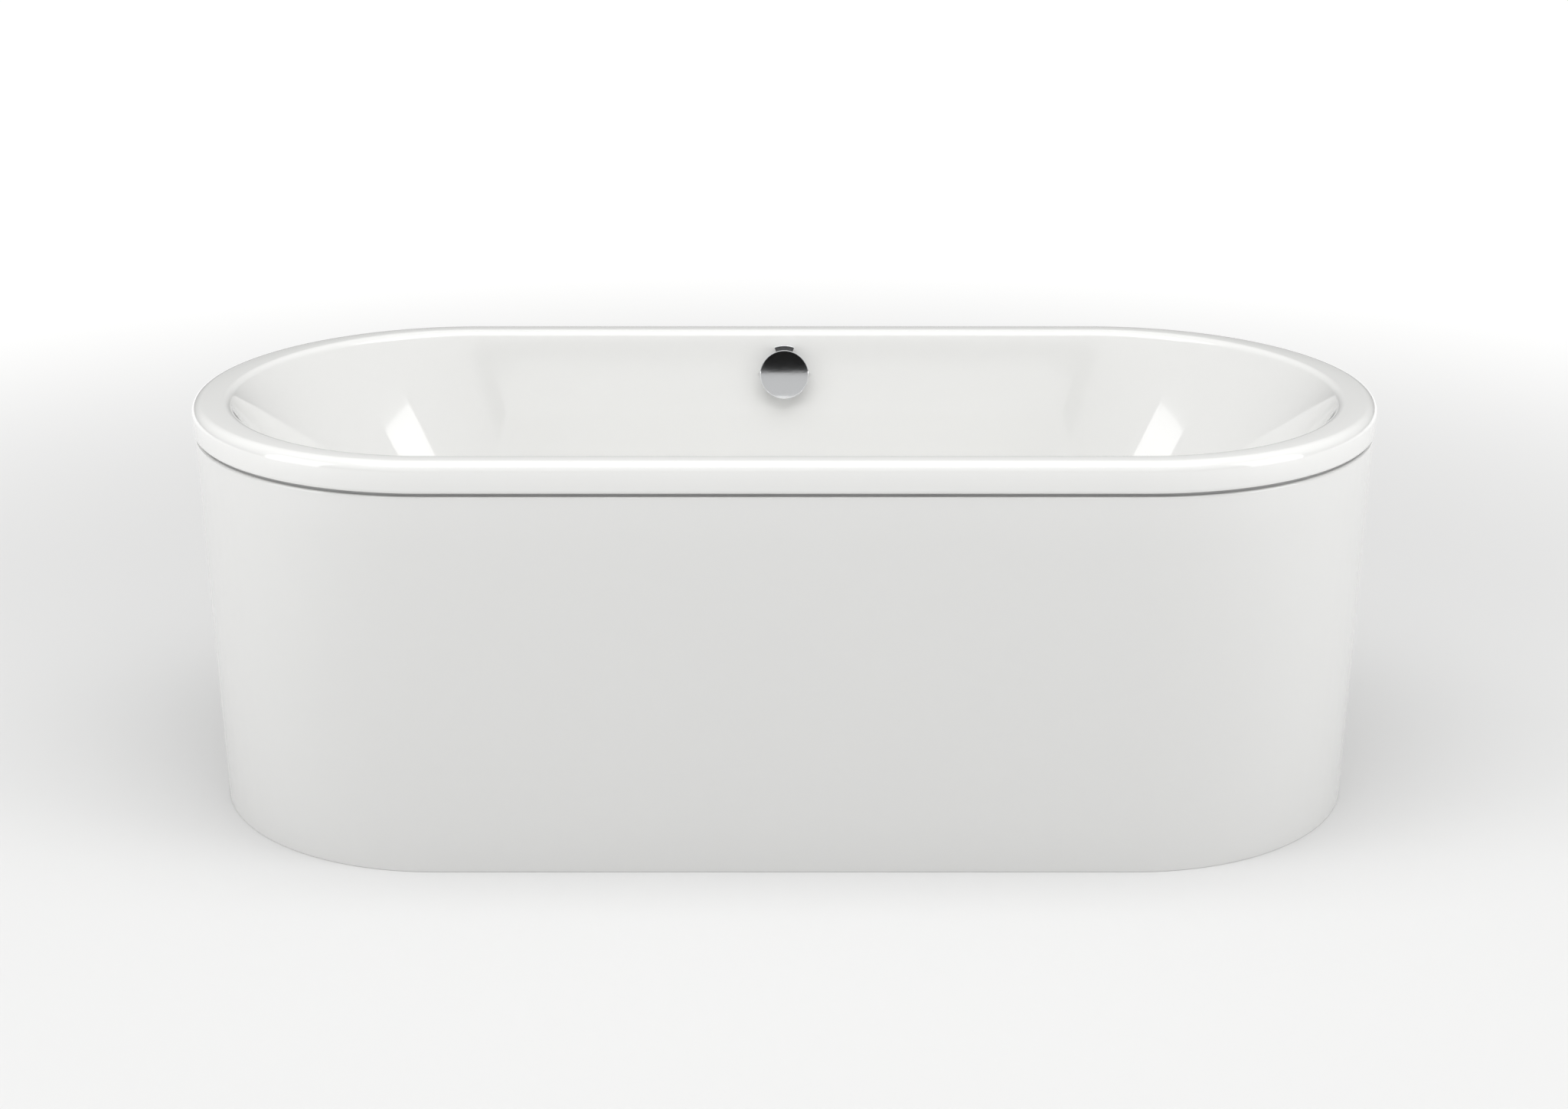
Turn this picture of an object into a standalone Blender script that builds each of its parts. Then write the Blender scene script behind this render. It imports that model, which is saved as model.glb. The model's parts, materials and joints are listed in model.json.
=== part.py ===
"""Freestanding oval bathtub: enamelled steel tub in a moulded panel, on a levelling foot frame,
with a turning overflow knob that lifts the waste plug through a Bowden cable.

Metres, +Z up, X along the bath, the overflow at +Y. The origin is on the floor under the middle.
"""
import math

import bmesh
import bpy
from mathutils import Matrix, Vector

for old in list(bpy.data.objects):
    bpy.data.objects.remove(old, do_unlink=True)

# ---------------------------------------------------------------- driving dimensions
LENGTH = 1.800             # over the rim
WIDTH = 0.800
HEIGHT = 0.630             # floor to top of rim
DEPTH = 0.430              # rim top to the inside floor
END_CAP = 0.390            # length of each rounded end, beyond the straight sides
STEEL = 0.0035             # enamelled steel wall
CLEARANCE = 0.0003         # between pieces that touch

RIM_HEIGHT = 0.046         # upright outer face
RIM_EDGE_RADIUS = 0.0155   # outer top edge
RIM_INNER_RADIUS = 0.014   # edge into the bowl
RIM_LOWER_RADIUS = 0.006
RIM_RETURN = 0.022         # edge folded in under the rim
RIM_FLAT_SIDE = 0.018      # flat top, long sides
RIM_FLAT_END = 0.0325      # flat top, ends
SIDE_SLOPE = math.radians(13.0)   # long inner walls, from upright
BACK_SLOPE = math.radians(31.0)   # both backrests, from upright
BOWL_FILLET = 0.120        # run of the curve from wall to floor

SHADOW_GAP = 0.0045        # between rim and panel
PANEL_INSET = 0.003        # panel top edge, in from the rim face
PANEL_TAPER = 0.020        # panel foot, in from the panel top
PANEL_WALL = 0.005
PANEL_EDGE_RADIUS = 0.003

SEAL_INSET = 0.008         # rim seal, in from the rim face
SEAL_WIDTH = 0.006

CLIP_WIDTH = 0.040
CLIP_GAUGE = 0.002
CLIP_TIP = 0.015           # tip of the clip legs, in from the rim face
CLIP_FROM_CAP = 0.110      # outer clips, from the ends of the straight sides

RAIL_FROM_END = 0.540      # foot rails, in from the ends of the rim
RAIL_WIDTH = 0.045
RAIL_HEIGHT = 0.030
RAIL_GAUGE = 0.0025
RAIL_OVERHANG = 0.030      # rail beyond each foot
PAD_THICKNESS = 0.004      # adhesive plate between rail and tub
PAD_LENGTH = 0.060

FOOT_FROM_SIDE = 0.150     # foot axis, in from the long side of the rim
FOOT_RADIUS = 0.025
FOOT_HEIGHT = 0.014
SPINDLE_RADIUS = 0.005     # M10
SPINDLE_ABOVE_RAIL = 0.027
FOOT_SOCKET_RADIUS = 0.008
FOOT_SOCKET_FLOOR = 0.006
LOCK_NUT_FLAT = 0.0085     # half the width across the flats
LOCK_NUT_HEIGHT = 0.008

MAT_THICKNESS = 0.0027     # sound-deadening mats under the bath floor
MAT_LENGTH = 0.190
MAT_FROM_WASTE = 0.075
MAT_MARGIN = 0.025         # in from the flat of the floor

OVERFLOW_DROP = 0.070      # overflow centre, below the rim top
OVERFLOW_HOLE = 0.0245     # radii from here on
KNOB_RADIUS = 0.040
KNOB_STANDOFF = 0.016      # back of the knob disc, off the wall
KNOB_THICKNESS = 0.005
KNOB_HUB_RADIUS = 0.008
LUG_REACH = 0.0075         # finger lug, beyond the knob's edge
LUG_HALF_ANGLE = math.radians(20)
LUG_OFF_WALL = 0.003
SHAFT_RADIUS = 0.005
FACEPLATE_RADIUS = 0.034
FACEPLATE_TUBE = 0.0225
FACEPLATE_WALL = 0.003
CHAMBER_RADIUS = 0.030
CHAMBER_DEPTH = 0.030
CHAMBER_WALL = 0.003
HOSE_RADIUS = 0.011
HOSE_WALL = 0.002
PORT_WALL = 0.0023
PORT_DEPTH = 0.018         # axis of the overflow outlet, behind the inside of the wall

WASTE_HOLE = 0.026
WASTE_LAND = 0.050         # flat round the waste hole
WASTE_FLANGE = 0.035
WASTE_TUBE = 0.0236
WASTE_BORE = 0.0206
WASTE_CUP = 0.034
WASTE_CUP_WALL = 0.003
PLUG_RADIUS = 0.029
STEM_RADIUS = 0.0045
SPOUT_RADIUS = 0.020
TRAP_RADIUS = 0.045
OUTLET_LENGTH = 0.300      # outlet pipe's end, from the middle of the bath
CABLE_RADIUS = 0.0035

STRAIGHT_STEPS = 2         # mesh steps in a quarter of the outline
CAP_STEPS = 10
QUARTER_STEPS = STRAIGHT_STEPS + CAP_STEPS
ROUND_STEPS = 12           # mesh steps round a small turned piece
WIDE_STEPS = 24            # and round a wide one

# ---------------------------------------------------------------- levels and places
HALF_LENGTH = LENGTH / 2
HALF_WIDTH = WIDTH / 2
STRAIGHT = HALF_LENGTH - END_CAP
FLOOR_TOP = HEIGHT - DEPTH
FLOOR_UNDER = FLOOR_TOP - STEEL
RIM_UNDER = HEIGHT - RIM_HEIGHT
PANEL_TOP = RIM_UNDER - SHADOW_GAP
RAIL_TOP = FLOOR_UNDER - PAD_THICKNESS - 2 * CLEARANCE
RAIL_X = HALF_LENGTH - RAIL_FROM_END
FOOT_Y = HALF_WIDTH - FOOT_FROM_SIDE
RIM_SIDE_FLAT_EDGE = HALF_WIDTH - RIM_EDGE_RADIUS - RIM_FLAT_SIDE
RIM_END_FLAT_EDGE = HALF_LENGTH - RIM_EDGE_RADIUS - RIM_FLAT_END


def wall_start(flat_edge, slope):
    """Distance from the middle and height where the bowl wall leaves the rim's inner radius."""
    return (flat_edge - RIM_INNER_RADIUS * math.cos(slope),
            HEIGHT - RIM_INNER_RADIUS * (1 - math.sin(slope)))


def wall_distance(flat_edge, slope, height):
    """Distance from the middle to the straight part of the bowl's inner wall at a height."""
    distance, top = wall_start(flat_edge, slope)
    return distance - math.tan(slope) * (top - height)


FLAT_X = wall_distance(RIM_END_FLAT_EDGE, BACK_SLOPE, FLOOR_TOP) - BOWL_FILLET
FLAT_Y = wall_distance(RIM_SIDE_FLAT_EDGE, SIDE_SLOPE, FLOOR_TOP) - BOWL_FILLET
OVERFLOW_Z = HEIGHT - OVERFLOW_DROP
OVERFLOW_Y = wall_distance(RIM_SIDE_FLAT_EDGE, SIDE_SLOPE, OVERFLOW_Z)
# Local frame of the overflow: +Z into the bath, square to the wall, +Y up the wall.
OVERFLOW = (Matrix.Translation((0, OVERFLOW_Y, OVERFLOW_Z))
            @ Matrix.Rotation(math.pi / 2 - SIDE_SLOPE, 4, "X"))
WASTE = Matrix.Translation((0, 0, FLOOR_TOP))
ALONG_X = Matrix.Rotation(math.pi / 2, 4, "Y")
ALONG_Y = Matrix.Rotation(-math.pi / 2, 4, "X")


# Levels of the waste and overflow fittings, in their own frames.
OVERFLOW_PORT_END = CHAMBER_RADIUS + 0.015
CABLE_UP = 0.009
CABLE_BACK = 0.0065 - CHAMBER_DEPTH
CUP_LOW = -0.056
SPOUT_LOW = -0.141
INLET_LOW = -0.036
INLET_END = WASTE_CUP + 0.024
LEVER_X = 0.0225
LEVER_Z = -0.044
PIN_RADIUS = 0.002
COLLAR_TOP = -0.081
TRAP_LOW = -0.164
OUTLET_LOW = -0.120


# ---------------------------------------------------------------- materials
def material(name, colour, roughness, metallic=0.0, coat=0.0):
    made = bpy.data.materials.new(name)
    made.use_nodes = True
    shader = made.node_tree.nodes["Principled BSDF"]
    shader.inputs["Base Color"].default_value = (*colour, 1)
    shader.inputs["Roughness"].default_value = roughness
    shader.inputs["Metallic"].default_value = metallic
    shader.inputs["Coat Weight"].default_value = coat
    return made


ENAMEL = material("white_enamel", (0.82, 0.82, 0.80), 0.08, coat=1.0)
ACRYLIC = material("white_acrylic", (0.80, 0.80, 0.785), 0.12, coat=0.5)
CHROME = material("polished_chrome", (0.80, 0.81, 0.83), 0.05, metallic=1.0)
STEEL_ZINC = material("zinc_plated_steel", (0.58, 0.59, 0.60), 0.35, metallic=1.0)
BRASS = material("turned_brass", (0.72, 0.55, 0.26), 0.28, metallic=1.0)
RUBBER = material("black_rubber", (0.035, 0.035, 0.035), 0.75)
SEAL_GREY = material("grey_seal", (0.16, 0.16, 0.16), 0.7)
PLASTIC_GREY = material("grey_plastic", (0.30, 0.31, 0.32), 0.45)
PLASTIC_WHITE = material("white_plastic", (0.78, 0.78, 0.76), 0.40)
PLASTIC_BLACK = material("black_plastic", (0.03, 0.03, 0.032), 0.45)
BITUMEN = material("bitumen_mat", (0.045, 0.042, 0.040), 0.9)


# ---------------------------------------------------------------- building tools
def add(name, mesh, finish, place=Matrix()):
    """Puts a mesh into the scene with its faces pointing out and its edges kept crisp."""
    work = bmesh.new()
    work.from_mesh(mesh)
    bmesh.ops.recalc_face_normals(work, faces=work.faces)
    work.to_mesh(mesh)
    work.free()
    made = bpy.data.objects.new(name, mesh)
    bpy.context.scene.collection.objects.link(made)
    made.data.materials.append(finish)
    made.data.shade_smooth()
    made.data.set_sharp_from_angle(angle=math.radians(32))
    made.matrix_world = place
    return made


def outline(end, side, straight):
    """A ring of points round the bath, with straight sides and elliptical ends.

    end is (half length, height at the ends) and side is (half width, height at the sides).
    """
    points = []
    for quadrant, (along, across) in enumerate(((1, -1), (1, 1), (-1, 1), (-1, -1))):
        for step in range(QUARTER_STEPS):
            index = step if quadrant % 2 == 0 else QUARTER_STEPS - step
            if straight == 0:
                angle = math.pi / 2 * index / QUARTER_STEPS
                run = 0
            else:
                angle = math.pi / 2 * max(0, index - STRAIGHT_STEPS) / CAP_STEPS
                run = straight * min(1, index / STRAIGHT_STEPS)
            x = run + (end[0] - straight) * math.sin(angle)
            y = side[0] * math.cos(angle)
            z = side[1] + (end[1] - side[1]) * math.sin(angle) ** 2
            points.append((along * x, across * y, z))
    return points


def circle(radius, height):
    return outline((radius, height), (radius, height), 0)


def ring_loft(name, rings, finish, place=Matrix()):
    """A closed skin through rings that lead back to the first one."""
    count = len(rings[0])
    vertices = [point for ring in rings for point in ring]
    faces = []
    for first in range(len(rings)):
        second = (first + 1) % len(rings)
        for here in range(count):
            there = (here + 1) % count
            faces.append((first * count + here, first * count + there,
                          second * count + there, second * count + here))
    mesh = bpy.data.meshes.new(name)
    mesh.from_pydata(vertices, [], faces)
    return add(name, mesh, finish, place)


def turned(name, profile, finish, place=Matrix(), steps=ROUND_STEPS):
    """A solid turned about Z from a closed loop of (radius, height) points.

    A point (radius, height, sides) is on a prism with that many sides and that half width.
    """
    vertices = []
    rings = []
    for point in profile:
        radius, height = point[:2]
        if radius == 0:
            rings.append([len(vertices)] * steps)
            vertices.append((0, 0, height))
            continue
        rings.append(list(range(len(vertices), len(vertices) + steps)))
        for step in range(steps):
            angle = 2 * math.pi * step / steps
            reach = radius
            if len(point) == 3:
                sector = 2 * math.pi / point[2]
                reach = radius / math.cos(angle % sector - sector / 2)
            vertices.append((reach * math.cos(angle), reach * math.sin(angle), height))
    faces = []
    for ring, following in zip(rings, rings[1:] + rings[:1]):
        for here in range(steps):
            there = (here + 1) % steps
            corners = (ring[here], ring[there], following[there], following[here])
            corners = tuple(dict.fromkeys(corners))
            if len(corners) > 2:
                faces.append(corners)
    mesh = bpy.data.meshes.new(name)
    mesh.from_pydata(vertices, [], faces)
    return add(name, mesh, finish, place)


def rod(name, radius, low, high, finish, place=Matrix(), steps=ROUND_STEPS):
    return turned(name, [(0, low), (radius, low), (radius, high), (0, high)], finish, place, steps)


def sleeve(name, bore, radius, low, high, finish, place=Matrix()):
    profile = [(bore, low), (radius, low), (radius, high), (bore, high)]
    return turned(name, profile, finish, place, WIDE_STEPS)


def extruded(name, polygon, low, high, finish, place=Matrix()):
    """A prism: a polygon of (x, y) points, drawn from height low to height high."""
    count = len(polygon)
    vertices = [(x, y, low) for x, y in polygon] + [(x, y, high) for x, y in polygon]
    faces = [tuple(range(count)), tuple(range(count, 2 * count))]
    for here in range(count):
        there = (here + 1) % count
        faces.append((here, there, count + there, count + here))
    mesh = bpy.data.meshes.new(name)
    mesh.from_pydata(vertices, [], faces)
    return add(name, mesh, finish, place)


def block(name, low, high, finish, place=Matrix()):
    corners = [(low[0], low[1]), (high[0], low[1]), (high[0], high[1]), (low[0], high[1])]
    return extruded(name, corners, low[2], high[2], finish, place)


def combine(target, tool, operation):
    """Joins a tool to a target, or cuts it away, and drops the tool."""
    modifier = target.modifiers.new("shape", "BOOLEAN")
    modifier.operation = operation
    modifier.solver = "EXACT"
    modifier.object = tool
    bpy.context.view_layer.update()
    graph = bpy.context.evaluated_depsgraph_get()
    mesh = bpy.data.meshes.new_from_object(target.evaluated_get(graph))
    target.modifiers.clear()
    target.data = mesh
    bpy.data.objects.remove(tool, do_unlink=True)


def offset_path(path, distance):
    """The path moved sideways: to the right of its direction where distance is positive."""
    moved = []
    for index, point in enumerate(path):
        here = Vector(point)
        before = Vector(path[max(0, index - 1)])
        after = Vector(path[min(len(path) - 1, index + 1)])
        arriving = (here - before) if index > 0 else (after - here)
        leaving = (after - here) if index < len(path) - 1 else (here - before)
        arriving = arriving.normalized()
        leaving = leaving.normalized()
        mean = (arriving + leaving).normalized()
        shift = distance / max(0.3, mean.dot(arriving))
        moved.append((here.x + mean.y * shift, here.y - mean.x * shift))
    return moved


def arc(centre, radius, start, end, steps):
    """Points on an arc, angles in radians, both ends included."""
    points = []
    for step in range(steps + 1):
        angle = start + (end - start) * step / steps
        points.append((centre[0] + radius * math.cos(angle), centre[1] + radius * math.sin(angle)))
    return points


def smooth_route(points, spacing):
    """A smooth curve through the points of a route, read at about the given spacing."""
    line = [Vector(point) for point in points]
    line = [2 * line[0] - line[1]] + line + [2 * line[-1] - line[-2]]
    route = []
    for a, b, c, d in zip(line, line[1:], line[2:], line[3:]):
        count = max(1, round((c - b).length / spacing))
        for step in range(count):
            t = step / count
            route.append(0.5 * (2 * b + (c - a) * t + (2 * a - 5 * b + 4 * c - d) * t * t
                                + (3 * b - a - 3 * c + d) * t ** 3))
    route.append(line[-2])
    return route


# ---------------------------------------------------------------- tub and panel
def tub_section(half, flat_edge, slope):
    """Upper surface of the steel from the floor, up the wall and over the rim to its folded edge."""
    wall_top = Vector(wall_start(flat_edge, slope))
    corner = Vector((wall_distance(flat_edge, slope, FLOOR_TOP), FLOOR_TOP))
    up_wall = (wall_top - corner).normalized()
    floor_end = corner - Vector((BOWL_FILLET, 0))
    wall_foot = corner + up_wall * BOWL_FILLET
    path = []
    for step in range(5):
        t = step / 4
        path.append(tuple((1 - t) ** 2 * floor_end + 2 * t * (1 - t) * corner + t * t * wall_foot))
    path.append(tuple(wall_foot.lerp(wall_top, 0.5)))
    path += arc((flat_edge, HEIGHT - RIM_INNER_RADIUS), RIM_INNER_RADIUS,
                math.pi - slope, math.pi / 2, 3)
    path += arc((half - RIM_EDGE_RADIUS, HEIGHT - RIM_EDGE_RADIUS), RIM_EDGE_RADIUS,
                math.pi / 2, 0, 3)
    path += arc((half - RIM_LOWER_RADIUS, RIM_UNDER + RIM_LOWER_RADIUS), RIM_LOWER_RADIUS,
                0, -math.pi / 2, 2)
    path.append((half - RIM_RETURN, RIM_UNDER))
    return path


def make_tub():
    end_path = tub_section(HALF_LENGTH, RIM_END_FLAT_EDGE, BACK_SLOPE)
    side_path = tub_section(HALF_WIDTH, RIM_SIDE_FLAT_EDGE, SIDE_SLOPE)
    straights = [STRAIGHT * min(1, end[0] / RIM_END_FLAT_EDGE) for end in end_path]
    top = [outline(*ring) for ring in zip(end_path, side_path, straights)]
    under = [outline(*ring) for ring in
             zip(offset_path(end_path, STEEL), offset_path(side_path, STEEL), straights)]
    rings = [circle(WASTE_HOLE, FLOOR_TOP), circle(WASTE_LAND, FLOOR_TOP)] + top
    rings += under[::-1] + [circle(WASTE_LAND, FLOOR_UNDER), circle(WASTE_HOLE, FLOOR_UNDER)]
    tub = ring_loft("tub_shell", rings, ENAMEL)
    hole = rod("hole", OVERFLOW_HOLE, -0.02, 0.02, ENAMEL, OVERFLOW, WIDE_STEPS)
    combine(tub, hole, "DIFFERENCE")


def make_panel():
    def section(half):
        foot = half - PANEL_INSET - PANEL_TAPER
        top = half - PANEL_INSET
        lean = PANEL_TAPER / PANEL_TOP
        edge = PANEL_TOP - PANEL_EDGE_RADIUS
        path = [(foot, 0), ((foot + top) / 2, PANEL_TOP / 2)]
        path += arc((top - PANEL_EDGE_RADIUS * (1 + lean), edge), PANEL_EDGE_RADIUS,
                    -math.atan(lean), math.pi / 2, 3)
        path.append((half - RIM_RETURN, PANEL_TOP))
        inner = offset_path(path, -PANEL_WALL)
        inner[0] = (foot - PANEL_WALL, 0)
        return path + inner[::-1]

    rings = [outline(end, side, STRAIGHT)
             for end, side in zip(section(HALF_LENGTH), section(HALF_WIDTH))]
    ring_loft("side_panel", rings, ACRYLIC)


def make_rim_seal():
    low = PANEL_TOP + CLEARANCE
    high = RIM_UNDER - CLEARANCE
    rings = []
    for inset, height in ((SEAL_INSET, low), (SEAL_INSET, high),
                          (SEAL_INSET + SEAL_WIDTH, high), (SEAL_INSET + SEAL_WIDTH, low)):
        rings.append(outline((HALF_LENGTH - inset, height), (HALF_WIDTH - inset, height), STRAIGHT))
    ring_loft("rim_seal", rings, SEAL_GREY)


def make_clips():
    """Spring clips that clamp the panel's lip to the folded edge of the rim."""
    tip = HALF_WIDTH - CLIP_TIP
    spine = HALF_WIDTH - RIM_RETURN - CLEARANCE
    low = PANEL_TOP - PANEL_WALL - CLEARANCE
    high = RIM_UNDER + STEEL + CLEARANCE
    shape = [(tip, low - CLIP_GAUGE), (tip, low), (spine, low), (spine, high), (tip, high),
             (tip, high + CLIP_GAUGE), (spine - CLIP_GAUGE, high + CLIP_GAUGE),
             (spine - CLIP_GAUGE, low - CLIP_GAUGE)]
    reach = STRAIGHT - CLIP_FROM_CAP
    places = [("clip_front_left", -1, -reach), ("clip_front_middle", -1, 0),
              ("clip_front_right", -1, reach), ("clip_back_left", 1, -reach),
              ("clip_back_right", 1, reach)]
    for name, side, x in places:
        # The profile lies across the bath: its x is Y and its y is Z.
        across = Matrix(((0, 0, 1, x), (1, 0, 0, 0), (0, 1, 0, 0), (0, 0, 0, 1)))
        profile = [(side * distance, height) for distance, height in shape]
        extruded(name, profile, -CLIP_WIDTH / 2, CLIP_WIDTH / 2, STEEL_ZINC, across)


# ---------------------------------------------------------------- foot frame
def make_rail(name, x):
    """A channel rail, open below, with a hole for each spindle."""
    half = RAIL_WIDTH / 2
    low = RAIL_TOP - RAIL_HEIGHT
    channel = [(-half, low), (-half, RAIL_TOP), (half, RAIL_TOP), (half, low),
               (half - RAIL_GAUGE, low), (half - RAIL_GAUGE, RAIL_TOP - RAIL_GAUGE),
               (RAIL_GAUGE - half, RAIL_TOP - RAIL_GAUGE), (RAIL_GAUGE - half, low)]
    reach = FOOT_Y + RAIL_OVERHANG
    upright = Matrix(((1, 0, 0, x), (0, 0, -1, 0), (0, 1, 0, 0), (0, 0, 0, 1)))
    rail = extruded(name, channel, -reach, reach, STEEL_ZINC, upright)
    for y in (-FOOT_Y, FOOT_Y):
        drill = rod("drill", SPINDLE_RADIUS + CLEARANCE, 0, HEIGHT, STEEL_ZINC,
                    Matrix.Translation((x, y, 0)))
        combine(rail, drill, "DIFFERENCE")


def make_foot(number, x, y):
    """A levelling foot: a pad, a spindle that turns in it, and a lock nut under the rail."""
    place = Matrix.Translation((x, y, 0))
    socket = FOOT_SOCKET_RADIUS + CLEARANCE
    turned(f"foot_pad_{number}",
           [(0, 0), (FOOT_RADIUS, 0), (FOOT_RADIUS, FOOT_HEIGHT * 0.3),
            (FOOT_RADIUS * 0.55, FOOT_HEIGHT), (socket, FOOT_HEIGHT), (socket, FOOT_SOCKET_FLOOR),
            (0, FOOT_SOCKET_FLOOR)], PLASTIC_BLACK, place)
    base = FOOT_SOCKET_FLOOR + CLEARANCE
    top = RAIL_TOP + SPINDLE_ABOVE_RAIL
    chamfer = 0.001
    turned(f"foot_spindle_{number}",
           [(0, base), (FOOT_SOCKET_RADIUS, base), (FOOT_SOCKET_RADIUS, base + 0.004),
            (SPINDLE_RADIUS, base + 0.007), (SPINDLE_RADIUS, top - chamfer),
            (SPINDLE_RADIUS - chamfer, top), (0, top)], STEEL_ZINC, place)
    high = RAIL_TOP - RAIL_GAUGE - CLEARANCE
    low = high - LOCK_NUT_HEIGHT
    bore = SPINDLE_RADIUS + CLEARANCE
    turned(f"lock_nut_{number}",
           [(bore, low), (LOCK_NUT_FLAT, low, 6), (LOCK_NUT_FLAT, high, 6), (bore, high)],
           STEEL_ZINC, place)


def make_foot_frame():
    pad_y = FLAT_Y - PAD_LENGTH / 2
    pad_low = RAIL_TOP + CLEARANCE
    number = 0
    for side, x in (("left", -RAIL_X), ("right", RAIL_X)):
        make_rail(f"foot_rail_{side}", x)
        for end, y in (("front", -pad_y), ("back", pad_y)):
            block(f"rail_plate_{side}_{end}",
                  (x - RAIL_WIDTH / 2, y - PAD_LENGTH / 2, pad_low),
                  (x + RAIL_WIDTH / 2, y + PAD_LENGTH / 2, pad_low + PAD_THICKNESS), RUBBER)
        for y in (-FOOT_Y, FOOT_Y):
            number += 1
            make_foot(number, x, y)
    lug_half = 0.008
    block("earth_lug", (-RAIL_X - RAIL_WIDTH / 2 - 0.012, -lug_half, pad_low),
          (-RAIL_X + lug_half, lug_half, pad_low + 0.002), BRASS)


def make_mats():
    high = FLOOR_UNDER - CLEARANCE
    reach = FLAT_Y - MAT_MARGIN
    for side, sign in (("left", -1), ("right", 1)):
        near = sign * MAT_FROM_WASTE
        far = sign * (MAT_FROM_WASTE + MAT_LENGTH)
        block(f"sound_mat_{side}", (min(near, far), -reach, high - MAT_THICKNESS),
              (max(near, far), reach, high), BITUMEN)


# ---------------------------------------------------------------- overflow
def notched_disc(name, bore, radius, low, high, finish, place):
    """A disc with a middle bore and six water notches round its edge."""
    steps_per_notch = 5
    notch = (bore + radius) / 2

    def ring(height, edge):
        points = []
        for step in range(6 * steps_per_notch):
            angle = 2 * math.pi * step / (6 * steps_per_notch)
            reach = bore
            if edge:
                reach = notch if step % steps_per_notch in (0, 1) else radius
            points.append((reach * math.cos(angle), reach * math.sin(angle), height))
        return points

    rings = [ring(low, False), ring(low, True), ring(high, True), ring(high, False)]
    ring_loft(name, rings, finish, place)


def make_knob():
    """The round handle with its finger lug. It turns about the overflow's axis."""
    back = KNOB_STANDOFF
    front = back + KNOB_THICKNESS
    edge = 0.0018
    knob = turned("overflow_knob",
                  [(0, LUG_OFF_WALL - 0.006), (KNOB_HUB_RADIUS, LUG_OFF_WALL - 0.006),
                   (KNOB_HUB_RADIUS, back), (KNOB_RADIUS - edge / 2, back),
                   (KNOB_RADIUS, back + edge / 2), (KNOB_RADIUS, front - edge),
                   (KNOB_RADIUS - edge, front), (0, front)], CHROME, OVERFLOW, 2 * WIDE_STEPS)
    inner = FACEPLATE_RADIUS + 0.001
    outer = KNOB_RADIUS + LUG_REACH
    start = math.pi / 2 - LUG_HALF_ANGLE
    finish = math.pi / 2 + LUG_HALF_ANGLE
    shape = arc((0, 0), inner, start, finish, 6) + arc((0, 0), outer, finish, start, 6)
    lug = extruded("lug", shape, LUG_OFF_WALL, front - edge, CHROME, OVERFLOW)
    combine(knob, lug, "UNION")


def make_overflow():
    make_knob()
    hub_end = LUG_OFF_WALL - 0.006 - CLEARANCE
    shaft_end = 0.0035 - CHAMBER_DEPTH
    rod("knob_shaft", SHAFT_RADIUS, shaft_end, hub_end, BRASS, OVERFLOW)
    sleeve("cable_drum", SHAFT_RADIUS + CLEARANCE, SHAFT_RADIUS * 2.5,
           shaft_end, shaft_end + 0.006, PLASTIC_WHITE, OVERFLOW)
    gasket = 0.0015
    face_low = gasket + 2 * CLEARANCE
    face_high = face_low + 0.0025
    tube_end = -0.016
    bore = FACEPLATE_TUBE - FACEPLATE_WALL
    turned("overflow_faceplate",
           [(bore, tube_end), (FACEPLATE_TUBE, tube_end), (FACEPLATE_TUBE, face_low),
            (FACEPLATE_RADIUS, face_low), (FACEPLATE_RADIUS, face_high - 0.001),
            (FACEPLATE_RADIUS - 0.001, face_high), (bore, face_high)], CHROME, OVERFLOW, WIDE_STEPS)
    sleeve("overflow_inner_seal", OVERFLOW_HOLE + CLEARANCE, FACEPLATE_RADIUS - 0.001,
           CLEARANCE, CLEARANCE + gasket, SEAL_GREY, OVERFLOW)
    notched_disc("shaft_bearing", SHAFT_RADIUS + CLEARANCE, bore - CLEARANCE, -0.012, -0.009,
                 PLASTIC_WHITE, OVERFLOW)
    seal_high = -STEEL - CLEARANCE
    seal_low = seal_high - 0.002
    sleeve("overflow_outer_seal", OVERFLOW_HOLE, FACEPLATE_RADIUS - 0.001, seal_low, seal_high,
           RUBBER, OVERFLOW)
    make_overflow_body(seal_low - CLEARANCE)


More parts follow.
